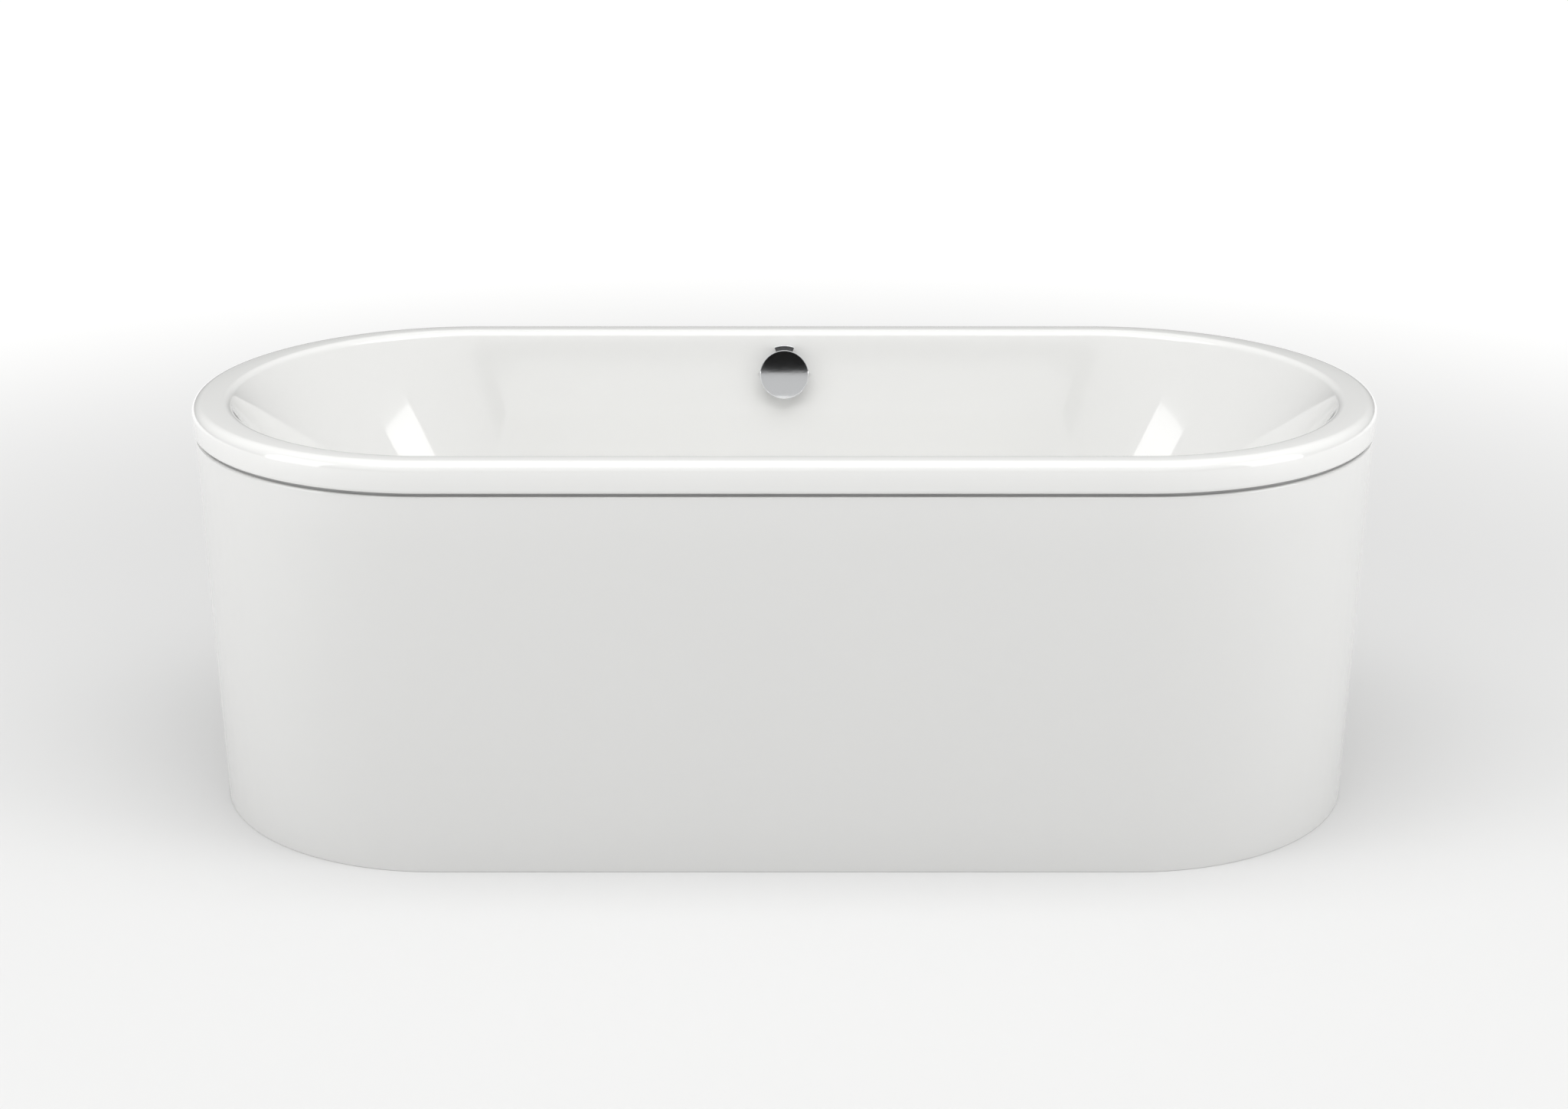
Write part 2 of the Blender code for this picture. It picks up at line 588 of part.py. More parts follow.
def make_overflow_body(high):
    """The housing behind the wall, its clamp nut, and the outlet that points down the wall."""
    flange_low = high - 0.0037
    bore = FACEPLATE_TUBE + CLEARANCE
    inner = CHAMBER_RADIUS - CHAMBER_WALL
    body = turned("overflow_body",
                  [(bore, high), (FACEPLATE_RADIUS - 0.001, high),
                   (FACEPLATE_RADIUS - 0.001, flange_low), (CHAMBER_RADIUS, flange_low),
                   (CHAMBER_RADIUS, -CHAMBER_DEPTH), (0, -CHAMBER_DEPTH),
                   (0, CHAMBER_WALL - CHAMBER_DEPTH), (inner, CHAMBER_WALL - CHAMBER_DEPTH),
                   (inner, flange_low), (bore, flange_low)], PLASTIC_GREY, OVERFLOW, WIDE_STEPS)
    # Ports are drawn along local +Z and turned to point down the wall.
    down = OVERFLOW @ Matrix.Translation((0, 0, -PORT_DEPTH)) @ Matrix.Rotation(math.pi / 2, 4, "X")
    port_radius = HOSE_RADIUS + 0.0005
    port = rod("port", port_radius, inner + 0.001, OVERFLOW_PORT_END, PLASTIC_GREY, down, 16)
    combine(body, port, "UNION")
    bore_tool = rod("bore", port_radius - PORT_WALL, inner - 0.004, OVERFLOW_PORT_END + 0.01,
                    PLASTIC_GREY, down, 16)
    combine(body, bore_tool, "DIFFERENCE")
    cable_way = rod("way", CABLE_RADIUS * 0.6, inner - 0.006, CHAMBER_RADIUS + 0.01, PLASTIC_GREY,
                    OVERFLOW @ Matrix.Translation((0, CABLE_UP, CABLE_BACK)) @ ALONG_X, 12)
    combine(body, cable_way, "DIFFERENCE")
    nut_high = flange_low - CLEARANCE
    turned("overflow_clamp_nut",
           [(bore, nut_high - 0.005), (inner - 0.002, nut_high - 0.005),
            (inner - 0.002, nut_high), (bore, nut_high)], PLASTIC_WHITE, OVERFLOW, WIDE_STEPS)
    sleeve("hose_nut_upper", port_radius + CLEARANCE, port_radius + 0.0025,
           OVERFLOW_PORT_END - 0.010, OVERFLOW_PORT_END + 0.010, PLASTIC_WHITE, down)


# ---------------------------------------------------------------- waste, lever and trap
def make_waste():
    turned("waste_flange",
           [(WASTE_BORE, -0.034), (WASTE_TUBE, -0.034), (WASTE_TUBE, 0.0021),
            (WASTE_FLANGE, 0.0021), (WASTE_FLANGE, 0.0032), (WASTE_FLANGE - 0.0015, 0.0046),
            (WASTE_FLANGE - 0.005, 0.0046), (WASTE_TUBE, 0.0028), (WASTE_BORE, 0.0010)],
           CHROME, WASTE, WIDE_STEPS)
    sleeve("waste_upper_seal", WASTE_HOLE + 0.0005, WASTE_FLANGE - 0.0015,
           CLEARANCE, 0.0021 - CLEARANCE, SEAL_GREY, WASTE)
    neck = WASTE_BORE - 0.0031
    turned("waste_plug",
           [(0, 0.0098), (0.015, 0.0094), (PLUG_RADIUS - 0.004, 0.0082), (PLUG_RADIUS, 0.0062),
            (PLUG_RADIUS, 0.0050), (neck, 0.0050), (neck, -0.0020), (STEM_RADIUS, -0.0020),
            (STEM_RADIUS, -0.0340), (0, -0.0340)], CHROME, WASTE, WIDE_STEPS)
    sleeve("plug_seal", neck + CLEARANCE, WASTE_BORE - 0.0004, -0.0016, 0.0008, RUBBER, WASTE)
    notched_disc("stem_guide", STEM_RADIUS + 0.0005, WASTE_BORE - CLEARANCE, -0.0200, -0.0170,
                 PLASTIC_WHITE, WASTE)
    sleeve("waste_lower_seal", WASTE_TUBE + 0.0009, WASTE_CUP + 0.0025,
           -STEEL - CLEARANCE - 0.0020, -STEEL - CLEARANCE, RUBBER, WASTE)
    make_waste_body(-STEEL - 2 * CLEARANCE - 0.0020)
    make_lever()


def make_waste_body(high):
    """The cup under the floor: overflow inlet at the back, spout down into the trap."""
    inner = WASTE_CUP - WASTE_CUP_WALL
    bore = WASTE_TUBE + 0.0006
    flange_low = high - 0.0039
    body = turned("waste_body",
                  [(bore, high), (WASTE_CUP + 0.003, high), (WASTE_CUP + 0.003, flange_low),
                   (WASTE_CUP, flange_low), (WASTE_CUP, CUP_LOW), (SPOUT_RADIUS, CUP_LOW),
                   (SPOUT_RADIUS, SPOUT_LOW), (SPOUT_RADIUS - 0.003, SPOUT_LOW),
                   (SPOUT_RADIUS - 0.003, CUP_LOW + WASTE_CUP_WALL),
                   (inner, CUP_LOW + WASTE_CUP_WALL), (inner, flange_low), (bore, flange_low)],
                  PLASTIC_GREY, WASTE, WIDE_STEPS)
    back = WASTE @ Matrix.Translation((0, 0, INLET_LOW)) @ ALONG_Y
    port_radius = HOSE_RADIUS + 0.0005
    combine(body, rod("port", port_radius, inner + 0.001, INLET_END, PLASTIC_GREY, back), "UNION")
    combine(body, rod("bore", port_radius - PORT_WALL, inner - 0.004, INLET_END + 0.01,
                      PLASTIC_GREY, back), "DIFFERENCE")
    side = WASTE @ Matrix.Translation((0, 0, INLET_LOW)) @ ALONG_X
    combine(body, rod("way", CABLE_RADIUS * 0.6, inner - 0.004, WASTE_CUP + 0.01, PLASTIC_GREY,
                      side, 12), "DIFFERENCE")
    sleeve("hose_nut_lower", port_radius + CLEARANCE, port_radius + 0.0025,
           INLET_END - 0.010, INLET_END + 0.010, PLASTIC_WHITE, back)


def make_lever():
    """The lever that lifts the plug's stem. It turns on a pin across the cup."""
    pivot = WASTE @ Matrix.Translation((LEVER_X, 0, LEVER_Z))
    hub = 0.0045
    tip = LEVER_X + 0.003
    # Drawn in the XZ plane: local Y of the polygon is up.
    upright = pivot @ Matrix(((1, 0, 0, 0), (0, 0, -1, 0), (0, 1, 0, 0), (0, 0, 0, 1)))
    shape = arc((0, 0), hub, -math.pi / 2, math.pi / 2, 8)
    shape += [(-tip + 0.001, 0.0087), (-tip, 0.0080), (-tip, 0.0055)]
    lever = extruded("lift_lever", shape, -0.003, 0.003, PLASTIC_WHITE, upright)
    combine(lever, rod("bore", PIN_RADIUS + CLEARANCE, -0.02, 0.02, PLASTIC_WHITE, upright),
            "DIFFERENCE")
    chord = math.sqrt((WASTE_CUP - WASTE_CUP_WALL) ** 2 - (LEVER_X + PIN_RADIUS) ** 2)
    rod("lever_pin", PIN_RADIUS, -chord + 0.0004, chord - 0.0004, STEEL_ZINC, upright)


def make_trap():
    collar = SPOUT_RADIUS + 0.0003
    wall = 0.003
    top = COLLAR_TOP
    shoulder = top - 0.017
    body = turned("trap_body",
                  [(collar, top), (collar + 0.0042, top), (collar + 0.0042, shoulder),
                   (TRAP_RADIUS, shoulder), (TRAP_RADIUS, TRAP_LOW), (0, TRAP_LOW),
                   (0, TRAP_LOW + wall), (TRAP_RADIUS - wall, TRAP_LOW + wall),
                   (TRAP_RADIUS - wall, shoulder - wall), (collar, shoulder - wall)],
                  PLASTIC_WHITE, WASTE, WIDE_STEPS)
    side = WASTE @ Matrix.Translation((0, 0, OUTLET_LOW)) @ ALONG_X
    pipe = 0.0167
    port = pipe + CLEARANCE + wall
    port_end = TRAP_RADIUS + 0.035
    combine(body, rod("port", port, TRAP_RADIUS - 0.002, port_end, PLASTIC_WHITE, side, WIDE_STEPS),
            "UNION")
    combine(body, rod("bore", pipe + CLEARANCE, TRAP_RADIUS - wall - 0.006, port_end + 0.01,
                      PLASTIC_WHITE, side, WIDE_STEPS), "DIFFERENCE")
    sleeve("trap_seal", collar, collar + 0.0040, top + CLEARANCE, top + 0.0043, RUBBER, WASTE)
    lip = top + 0.0046
    turned("trap_union_nut",
           [(collar + 0.0045, top - 0.016), (collar + 0.0097, top - 0.016, 6),
            (collar + 0.0097, lip + 0.003, 6), (collar, lip + 0.003), (collar, lip),
            (collar + 0.0045, lip)], PLASTIC_GREY, WASTE, WIDE_STEPS)
    sleeve("outlet_seal", pipe + CLEARANCE, port, port_end + CLEARANCE, port_end + 0.0043,
           RUBBER, side)
    lip = port_end + 0.0046
    turned("outlet_nut",
           [(port + CLEARANCE, port_end - 0.010), (port + 0.005, port_end - 0.010, 6),
            (port + 0.005, lip + 0.003, 6), (pipe + CLEARANCE, lip + 0.003),
            (pipe + CLEARANCE, lip), (port + CLEARANCE, lip)], PLASTIC_GREY, side, WIDE_STEPS)
    sleeve("outlet_pipe", pipe - 0.002, pipe, port_end - 0.018, OUTLET_LENGTH, PLASTIC_WHITE, side)


# ---------------------------------------------------------------- hose and cable
def make_hose():
    """The pipe from the overflow's outlet, down behind the wall and under to the waste."""
    down = Vector((0, -math.sin(SIDE_SLOPE), -math.cos(SIDE_SLOPE)))
    start = OVERFLOW @ Vector((0, -OVERFLOW_PORT_END - CLEARANCE, -PORT_DEPTH))
    end = Vector((0, INLET_END + CLEARANCE, FLOOR_TOP + INLET_LOW))
    fall = (start.z - end.z) / math.cos(SIDE_SLOPE)
    corner = start + down * fall
    bend = 0.090
    above = corner - down * bend
    beside = corner - Vector((0, bend, 0))
    route = [start.lerp(above, step / 3) for step in range(3)]
    for step in range(9):
        t = step / 8
        route.append((1 - t) ** 2 * above + 2 * t * (1 - t) * corner + t * t * beside)
    route += [beside.lerp(end, step / 2) for step in (1, 2)]
    rings = []
    for radius, line in ((HOSE_RADIUS, route), (HOSE_RADIUS - HOSE_WALL, route[::-1])):
        for index, point in enumerate(line):
            ahead = line[min(index + 1, len(line) - 1)] - line[max(index - 1, 0)]
            if radius < HOSE_RADIUS:
                ahead = -ahead
            up = Vector((1, 0, 0)).cross(ahead.normalized())
            ring = []
            for step in range(ROUND_STEPS):
                angle = 2 * math.pi * step / ROUND_STEPS
                ring.append(point + radius * (Vector((math.cos(angle), 0, 0)) + up * math.sin(angle)))
            rings.append(ring)
    ring_loft("overflow_hose", rings, PLASTIC_GREY)


def make_cable():
    """The Bowden cable from the drum's side of the overflow to the lever's side of the waste."""
    first = OVERFLOW @ Vector((CHAMBER_RADIUS + CLEARANCE, CABLE_UP, CABLE_BACK))
    last = Vector((WASTE_CUP + 2 * CLEARANCE, 0, FLOOR_TOP + INLET_LOW))
    beside = 0.070
    down = Vector((0, -math.sin(SIDE_SLOPE), -math.cos(SIDE_SLOPE)))
    low = last.z - 0.004
    points = [first, first + Vector((0.014, 0, 0)), first + Vector((0.032, 0, -0.012))]
    fall = first.z - last.z
    for share in (0.20, 0.40, 0.60, 0.78):
        points.append(Vector((beside, first.y, first.z)) + down * fall * share)
    points.append(Vector((beside, first.y + down.y * fall - 0.012, low + 0.030)))
    points.append(Vector((beside, first.y + down.y * fall - 0.055, low)))
    points.append(Vector((beside, 0.110, low)))
    points.append(Vector((beside, 0.050, low)))
    points.append(last + Vector((0.030, 0.012, 0)))
    points.append(last + Vector((0.015, 0, 0)))
    points.append(last)
    curve = bpy.data.curves.new("bowden_cable", "CURVE")
    curve.dimensions = "3D"
    curve.bevel_depth = CABLE_RADIUS
    curve.bevel_resolution = 2
    curve.use_fill_caps = True
    route = smooth_route(points, CABLE_RADIUS * 5)
    spline = curve.splines.new("POLY")
    spline.points.add(len(route) - 1)
    for spot, point in zip(spline.points, route):
        spot.co = (*point, 1)
    curve.materials.append(PLASTIC_BLACK)
    bpy.context.scene.collection.objects.link(bpy.data.objects.new("bowden_cable", curve))


make_tub()
make_panel()
make_rim_seal()
make_clips()
make_foot_frame()
make_mats()
make_overflow()
make_waste()
make_trap()
make_hose()
make_cable()
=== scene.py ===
"""Looks for the oval bath: fine enamel and acrylic skins, turned chrome, threads and hose ribs."""
import json
import math

import bmesh
import bpy
from mathutils import Matrix, Vector


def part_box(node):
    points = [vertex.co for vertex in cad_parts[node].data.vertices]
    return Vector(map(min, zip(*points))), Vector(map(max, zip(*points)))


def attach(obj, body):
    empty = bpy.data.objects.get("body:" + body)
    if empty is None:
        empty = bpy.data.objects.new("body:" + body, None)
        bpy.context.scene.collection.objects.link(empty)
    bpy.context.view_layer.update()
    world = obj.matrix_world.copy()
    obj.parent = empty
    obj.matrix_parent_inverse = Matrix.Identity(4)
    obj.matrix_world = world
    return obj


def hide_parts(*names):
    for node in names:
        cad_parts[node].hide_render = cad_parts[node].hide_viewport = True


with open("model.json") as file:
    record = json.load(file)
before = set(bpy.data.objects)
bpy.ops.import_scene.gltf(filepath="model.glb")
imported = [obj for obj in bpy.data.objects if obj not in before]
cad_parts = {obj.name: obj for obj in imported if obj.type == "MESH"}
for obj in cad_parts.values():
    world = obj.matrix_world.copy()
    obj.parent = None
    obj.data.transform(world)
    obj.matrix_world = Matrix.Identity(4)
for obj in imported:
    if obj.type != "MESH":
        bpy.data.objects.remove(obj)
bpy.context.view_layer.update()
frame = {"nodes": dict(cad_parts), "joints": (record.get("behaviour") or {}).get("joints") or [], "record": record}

# ---------------------------------------------------------------- sizes, metres
TUB_LOW, TUB_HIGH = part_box("tub_shell")
SEAL_LOW, SEAL_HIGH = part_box("rim_seal")
HALF_LENGTH = TUB_HIGH.x
HALF_WIDTH = TUB_HIGH.y
TOP = TUB_HIGH.z
STEEL = 0.0035
FLOOR_TOP = TUB_LOW.z + STEEL
END_CAP = 0.390
STRAIGHT = HALF_LENGTH - END_CAP
RIM_HEIGHT = 0.046
RIM_UNDER = TOP - RIM_HEIGHT
RIM_EDGE_RADIUS = 0.0155
RIM_INNER_RADIUS = 0.014
RIM_LOWER_RADIUS = 0.006
RIM_RETURN = 0.022
SIDE_EDGE = HALF_WIDTH - RIM_EDGE_RADIUS - 0.018
END_EDGE = HALF_LENGTH - RIM_EDGE_RADIUS - 0.0325
SIDE_SLOPE = math.radians(13)
BACK_SLOPE = math.radians(31)
BOWL_FILLET = 0.120
PANEL_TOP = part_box("side_panel")[1].z
PANEL_INSET = 0.003
PANEL_TAPER = 0.020
PANEL_WALL = 0.005
PANEL_EDGE = 0.003
OVERFLOW_HOLE = 0.0245
WASTE_HOLE = 0.026
WASTE_LAND = 0.050
SEAL_WIDTH = 0.006

# The knob, heights off the bath's wall
KNOB_RADIUS = 0.040
KNOB_BACK = 0.016
KNOB_FRONT = 0.021
KNOB_BEVEL = 0.0011
KNOB_BACK_BEVEL = 0.0006
KNOB_CROWN = 0.0004
HUB_RADIUS = 0.008
HUB_LOW = -0.003
HUB_FLARE = 0.002
LUG_ROOT = 0.0345
LUG_REACH = 0.0075
LUG_HALF_ANGLE = math.radians(20)
LUG_LOW = 0.003
LUG_HIGH = 0.0192
LUG_EDGE = 0.0006
LUG_GROOVES = (0.0070, 0.0130)
GROOVE_FLANK = 0.0008
GROOVE_FLOOR = 0.0010
GROOVE_DEPTH = 0.0012

# Rings that sit on the enamel, heights off it
RING_SEAT = 0.0021
RING_FRONT = 0.0046
FACEPLATE_RADIUS = 0.034
FACEPLATE_TUBE = 0.0225
FACEPLATE_BORE = 0.0195
FACEPLATE_DEPTH = 0.016
FACEPLATE_EDGE = 0.0012
WASTE_RADIUS = 0.035
WASTE_TUBE = 0.0236
WASTE_BORE = 0.0206
WASTE_DEPTH = 0.034
WASTE_EDGE = 0.0015
WASTE_DISH = [(0.0300, RING_FRONT), (0.0270, 0.0042), (WASTE_TUBE, 0.0028), (WASTE_BORE, 0.0010)]
PLUG_RADIUS = 0.029
PLUG_UNDER = 0.005
PLUG_UNDER_EDGE = 0.0004
PLUG_SHOULDER = 0.0062
PLUG_RISE = 0.0036
PLUG_BOSS_RADIUS = 0.0175
PLUG_BOSS_LOW = -0.002
PLUG_STEM_RADIUS = 0.0045

# Screw threads and the overflow hose
THREAD_PITCH = 0.0015
THREAD_RADIUS = 0.00485
THREAD_WIRE = 0.00042
THREAD_FROM = 0.010
THREAD_SHORT_OF = 0.002
HOSE_RADIUS = 0.011
HOSE_BEND = 0.090
RIB_SPACING = 0.0045
RIB_WIRE = 0.0009
PORT_END = 0.045
PORT_DEPTH = 0.018
INLET_END = 0.058
INLET_LOW = 0.036

STRAIGHT_STEPS = 10
CAP_STEPS = 44
FILLET_STEPS = 14
WALL_STEPS = 10
QUARTER_STEPS = STRAIGHT_STEPS + CAP_STEPS

KNOB_JOINT = next(joint for joint in frame["joints"] if joint["child"] == "knob")
OVERFLOW = (Matrix.Translation(KNOB_JOINT["pos_m"])
            @ Matrix.Rotation(math.pi / 2 - SIDE_SLOPE, 4, "X"))
WASTE = Matrix.Translation((0, 0, FLOOR_TOP))


# ---------------------------------------------------------------- shared shader groups
def surface_life():
    """Slow tone and gloss changes and a fine surface ripple, all on object coordinates."""
    group = bpy.data.node_groups.new("surface_life", "ShaderNodeTree")
    for label, kind, value in (("Tone", "NodeSocketColor", (0.8, 0.8, 0.8, 1)),
                               ("Tone Spread", "NodeSocketFloat", 0.02),
                               ("Gloss", "NodeSocketFloat", 0.1),
                               ("Gloss Spread", "NodeSocketFloat", 0.03),
                               ("Patch Size", "NodeSocketFloat", 3.0),
                               ("Ripple Size", "NodeSocketFloat", 60.0)):
        group.interface.new_socket(label, in_out="INPUT", socket_type=kind).default_value = value
    group.interface.new_socket("Colour", in_out="OUTPUT", socket_type="NodeSocketColor")
    group.interface.new_socket("Roughness", in_out="OUTPUT", socket_type="NodeSocketFloat")
    group.interface.new_socket("Height", in_out="OUTPUT", socket_type="NodeSocketFloat")
    nodes, links = group.nodes, group.links
    given = nodes.new("NodeGroupInput")
    out = nodes.new("NodeGroupOutput")
    place = nodes.new("ShaderNodeTexCoord")
    patches = nodes.new("ShaderNodeTexNoise")
    patches.inputs["Detail"].default_value = 3
    ripple = nodes.new("ShaderNodeTexNoise")
    ripple.inputs["Detail"].default_value = 2
    links.new(place.outputs["Object"], patches.inputs["Vector"])
    links.new(place.outputs["Object"], ripple.inputs["Vector"])
    links.new(given.outputs["Patch Size"], patches.inputs["Scale"])
    links.new(given.outputs["Ripple Size"], ripple.inputs["Scale"])
    centred = nodes.new("ShaderNodeMath")
    centred.operation = "SUBTRACT"
    centred.inputs[1].default_value = 0.5
    links.new(patches.outputs["Fac"], centred.inputs[0])

    def spread(amount, start, clamp):
        node = nodes.new("ShaderNodeMath")
        node.operation = "MULTIPLY_ADD"
        node.use_clamp = clamp
        links.new(centred.outputs[0], node.inputs[0])
        links.new(given.outputs[amount], node.inputs[1])
        if isinstance(start, str):
            links.new(given.outputs[start], node.inputs[2])
        else:
            node.inputs[2].default_value = start
        return node

    links.new(spread("Gloss Spread", "Gloss", True).outputs[0], out.inputs["Roughness"])
    shade = spread("Tone Spread", 1.0, False)
    tinted = nodes.new("ShaderNodeVectorMath")
    tinted.operation = "SCALE"
    links.new(given.outputs["Tone"], tinted.inputs[0])
    links.new(shade.outputs[0], tinted.inputs["Scale"])
    links.new(tinted.outputs["Vector"], out.inputs["Colour"])
    links.new(ripple.outputs["Fac"], out.inputs["Height"])
    return group


LIFE = surface_life()


def finish_of(name, tone, gloss, metallic=0.0, coat=0.0, tone_spread=0.03, gloss_spread=0.05,
              patch=3.0, ripple=60.0, bump=0.02, depth=0.0005):
    made = bpy.data.materials.new(name)
    made.use_nodes = True
    tree = made.node_tree
    shader = tree.nodes["Principled BSDF"]
    shader.inputs["Metallic"].default_value = metallic
    shader.inputs["Coat Weight"].default_value = coat
    shader.inputs["Coat Roughness"].default_value = 0.03
    life = tree.nodes.new("ShaderNodeGroup")
    life.node_tree = LIFE
    life.inputs["Tone"].default_value = (*tone, 1)
    life.inputs["Tone Spread"].default_value = tone_spread
    life.inputs["Gloss"].default_value = gloss
    life.inputs["Gloss Spread"].default_value = gloss_spread
    life.inputs["Patch Size"].default_value = patch
    life.inputs["Ripple Size"].default_value = ripple
    relief = tree.nodes.new("ShaderNodeBump")
    relief.inputs["Strength"].default_value = bump
    relief.inputs["Distance"].default_value = depth
    tree.links.new(life.outputs["Colour"], shader.inputs["Base Color"])
    tree.links.new(life.outputs["Roughness"], shader.inputs["Roughness"])
    tree.links.new(life.outputs["Height"], relief.inputs["Height"])
    tree.links.new(relief.outputs["Normal"], shader.inputs["Normal"])
    return made


FINISHES = {
    "white_enamel": finish_of("fired_enamel", (0.80, 0.80, 0.79), 0.07, coat=1.0,
                              tone_spread=0.012, gloss_spread=0.03, ripple=35.0, bump=0.03),
    "white_acrylic": finish_of("moulded_acrylic", (0.74, 0.74, 0.732), 0.16, coat=0.6,
                               tone_spread=0.012, ripple=22.0, bump=0.03),
    "polished_chrome": finish_of("polished_chrome", (0.86, 0.87, 0.89), 0.05, metallic=1.0,
                                 gloss_spread=0.03, patch=30.0, ripple=200.0, bump=0.01),
    "zinc_plated_steel": finish_of("zinc_plate", (0.56, 0.57, 0.59), 0.36, metallic=1.0,
                                   tone_spread=0.35, gloss_spread=0.25, patch=45.0, ripple=400.0,
                                   bump=0.15),
    "turned_brass": finish_of("turned_brass", (0.72, 0.54, 0.25), 0.28, metallic=1.0,
                              tone_spread=0.15, gloss_spread=0.2, patch=60.0, ripple=500.0),
    "black_rubber": finish_of("black_rubber", (0.035, 0.035, 0.035), 0.7, tone_spread=0.4,
                              patch=40.0, ripple=900.0, bump=0.3),
    "grey_seal": finish_of("seal_rubber", (0.34, 0.34, 0.34), 0.7, tone_spread=0.2,
                           patch=20.0, ripple=700.0, bump=0.2),
    "grey_plastic": finish_of("grey_pipe_plastic", (0.28, 0.29, 0.30), 0.42, tone_spread=0.12,
                              patch=25.0, ripple=800.0, bump=0.12),
    "white_plastic": finish_of("white_pipe_plastic", (0.74, 0.74, 0.72), 0.38, tone_spread=0.06,
                               patch=25.0, ripple=800.0, bump=0.12),
    "black_plastic": finish_of("black_moulded_plastic", (0.03, 0.03, 0.032), 0.42,
                               tone_spread=0.3, patch=25.0, ripple=900.0, bump=0.2),
    "bitumen_mat": finish_of("bitumen_sheet", (0.045, 0.042, 0.04), 0.85, tone_spread=0.6,
                             patch=60.0, ripple=350.0, bump=0.7, depth=0.001),
}


# ---------------------------------------------------------------- mesh tools
def outline(end, side, straight):
    """A ring of points round the bath: straight sides, elliptical ends, heights blended."""
    points = []
    for quadrant, (along, across) in enumerate(((1, -1), (1, 1), (-1, 1), (-1, -1))):
        for step in range(QUARTER_STEPS):
            index = step if quadrant % 2 == 0 else QUARTER_STEPS - step
            if straight == 0:
                angle = math.pi / 2 * index / QUARTER_STEPS
                run = 0
            else:
                angle = math.pi / 2 * max(0, index - STRAIGHT_STEPS) / CAP_STEPS
                run = straight * min(1, index / STRAIGHT_STEPS)
            x = run + (end[0] - straight) * math.sin(angle)
            y = side[0] * math.cos(angle)
            z = side[1] + (end[1] - side[1]) * math.sin(angle) ** 2
            points.append((along * x, across * y, z))
    return points


def arc(centre, radius, start, end, steps):
    points = []
    for step in range(steps + 1):
        angle = start + (end - start) * step / steps
        points.append((centre[0] + radius * math.cos(angle), centre[1] + radius * math.sin(angle)))
    return points


def offset_path(path, distance):
    """The path moved to the right of its direction, or to the left if distance is negative."""
    moved = []
    for index, point in enumerate(path):
        here = Vector(point)
        before = Vector(path[max(0, index - 1)])
        after = Vector(path[min(len(path) - 1, index + 1)])
        arriving = ((here - before) if index > 0 else (after - here)).normalized()
        leaving = ((after - here) if index < len(path) - 1 else (here - before)).normalized()
        mean = (arriving + leaving).normalized()
        shift = distance / max(0.3, mean.dot(arriving))
        moved.append((here.x + mean.y * shift, here.y - mean.x * shift))
    return moved


def piece_of(name, vertices, faces, slot, crisp=40):
    """A closed mesh object with outward faces and the finish of a record slot."""
    mesh = bpy.data.meshes.new(name)
    mesh.from_pydata(vertices, [], faces)
    work = bmesh.new()
    work.from_mesh(mesh)
    bmesh.ops.remove_doubles(work, verts=work.verts, dist=1e-7)
    bmesh.ops.recalc_face_normals(work, faces=work.faces)
    work.to_mesh(mesh)
    work.free()
    mesh.shade_smooth()
    mesh.set_sharp_from_angle(angle=math.radians(crisp))
    mesh.materials.append(FINISHES[slot])
    made = bpy.data.objects.new(name, mesh)
    bpy.context.scene.collection.objects.link(made)
    return made


def settle(piece, body, node=None):
    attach(piece, body)
    if node:
        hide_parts(node)


def ring_loft(name, rings, slot):
    count = len(rings[0])
    vertices = [point for ring in rings for point in ring]
    faces = []
    for first in range(len(rings)):
        second = (first + 1) % len(rings)
        for here in range(count):
            there = (here + 1) % count
            faces.append((first * count + here, first * count + there,
                          second * count + there, second * count + here))
    return piece_of(name, vertices, faces, slot)


def turned(name, profile, slot, place, steps=96):
    """A solid turned about the place's Z axis from a closed loop of (radius, height) points."""
    vertices = []
    rings = []
    for radius, height in profile:
        if radius == 0:
            rings.append([len(vertices)] * steps)
            vertices.append(place @ Vector((0, 0, height)))
            continue
        rings.append(list(range(len(vertices), len(vertices) + steps)))
        for step in range(steps):
            angle = 2 * math.pi * step / steps
            point = Vector((radius * math.cos(angle), radius * math.sin(angle), height))
            vertices.append(place @ point)
    faces = []
    for ring, following in zip(rings, rings[1:] + rings[:1]):
        for here in range(steps):
            there = (here + 1) % steps
            corners = (ring[here], ring[there], following[there], following[here])
            corners = tuple(dict.fromkeys(corners))
            if len(corners) > 2:
                faces.append(corners)
    return piece_of(name, vertices, faces, slot)


def baked(made):
    """The object's evaluated shape as a plain mesh, with its modifiers gone."""
    bpy.context.view_layer.update()
    graph = bpy.context.evaluated_depsgraph_get()
    mesh = bpy.data.meshes.new_from_object(made.evaluated_get(graph))
    made.modifiers.clear()
    made.data = mesh
    return made


